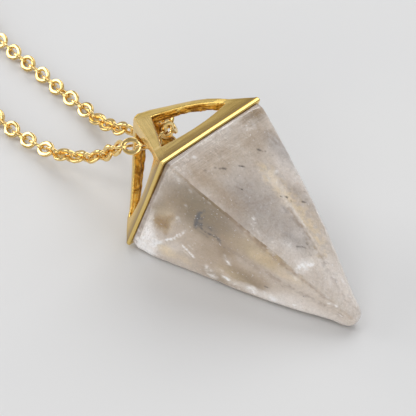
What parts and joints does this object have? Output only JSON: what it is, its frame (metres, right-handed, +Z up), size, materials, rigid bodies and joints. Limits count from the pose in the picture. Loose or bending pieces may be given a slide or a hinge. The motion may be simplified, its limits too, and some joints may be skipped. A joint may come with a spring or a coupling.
{
  "type": "crystal point pendant on a chain",
  "caption": "Faceted clear quartz point pendant in an openwork gold pyramid cap, threaded on a fine flat-link cable chain closed by a clasp, lying on its side.",
  "frame": {"origin": "centre of the bounding box's footprint, on the surface that the necklace lies on", "axes": "+Y along the pendant from its point towards its cap and on to the clasp, +Z up from the surface"},
  "size_m": [0.0846, 0.2313, 0.0163],
  "materials": {
    "crystal": "polished milky quartz",
    "gold": "polished gold plate, brushed faces",
    "chain_gold": "polished gold plate"
  },
  "bodies": {
    "root": {"crystal": "crystal", "cap": "gold", "chain": "chain_gold", "clasp": "chain_gold"}
  },
  "joints": []
}
